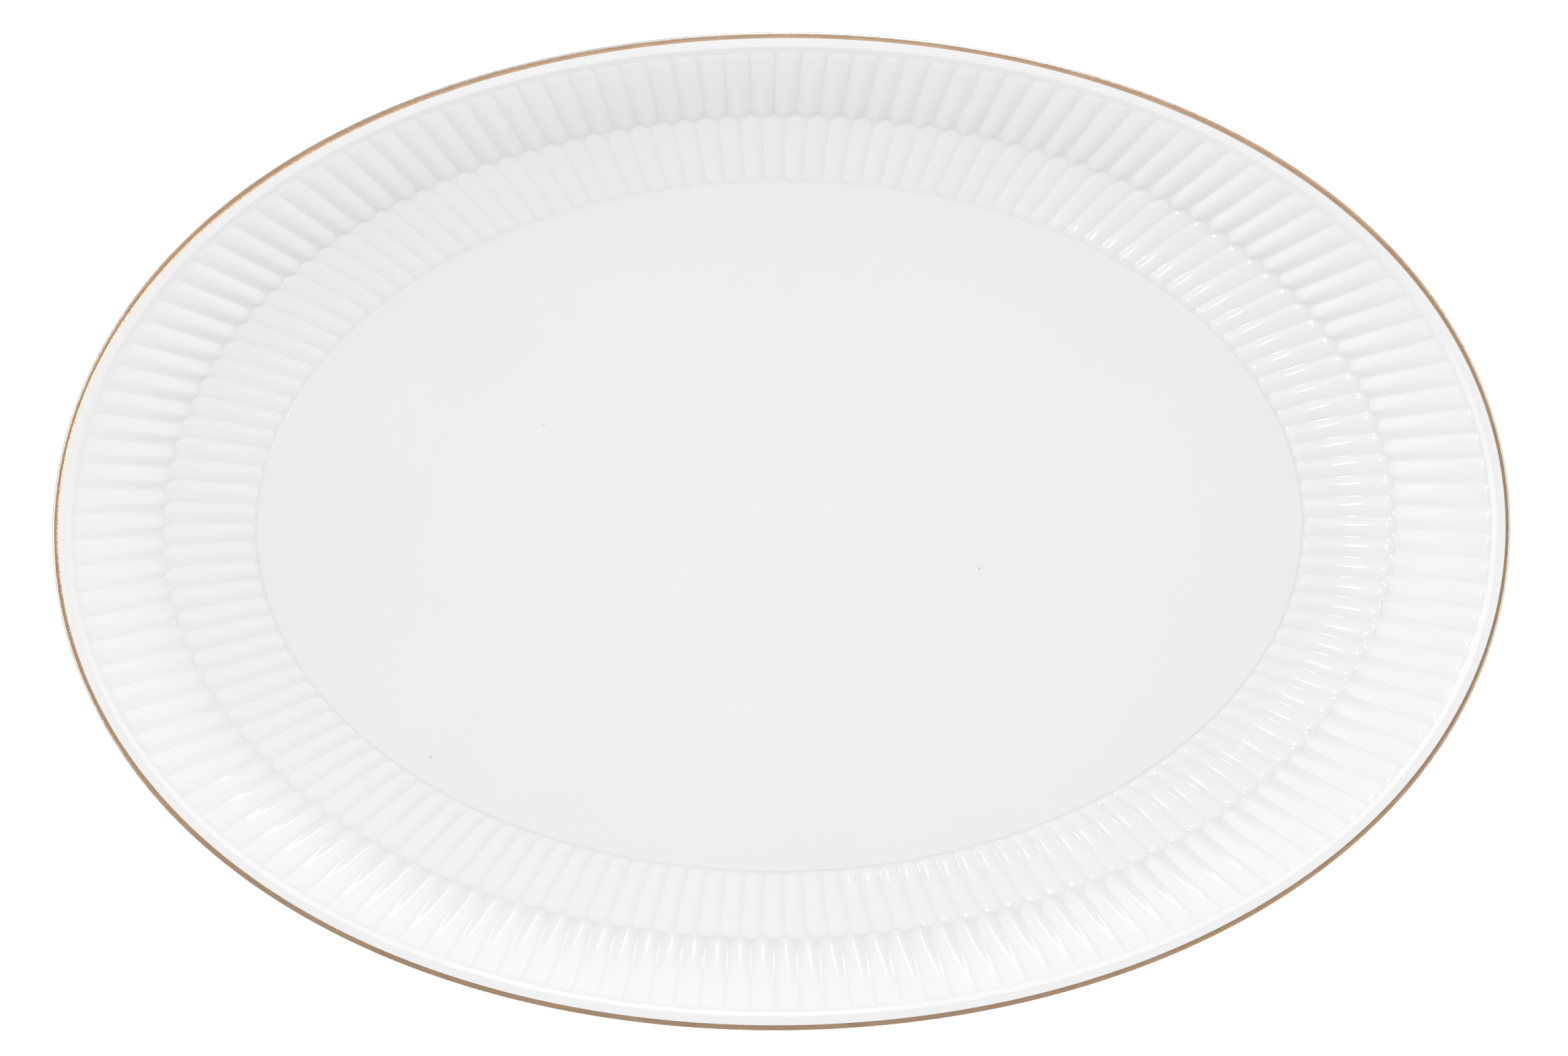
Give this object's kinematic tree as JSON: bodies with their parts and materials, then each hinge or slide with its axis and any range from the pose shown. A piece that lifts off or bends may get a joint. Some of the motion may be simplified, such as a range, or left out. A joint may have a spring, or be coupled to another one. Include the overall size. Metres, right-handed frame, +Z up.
{
  "type": "china serving platter",
  "caption": "Oval glazed porcelain serving platter with a flat well, interlocking bands of moulded beads on the rising wall, a plain narrow lip, a gilt edge and a foot ring.",
  "frame": {"origin": "under the centre of the platter, on the plane that its foot ring stands on", "axes": "+Z up out of the well, +X along the length, +Y across the width"},
  "size_m": [0.36, 0.2468, 0.028],
  "materials": {
    "bisque_porcelain": "bare fired porcelain, fine matt",
    "white_glaze": "glossy clear glaze on white porcelain",
    "gold": "burnished gold line, slightly worn"
  },
  "bodies": {
    "root": {"porcelain_body": "bisque_porcelain", "face_glaze": "white_glaze", "back_glaze": "white_glaze", "recess_glaze": "white_glaze", "gold_rim_band": "gold"}
  },
  "joints": []
}
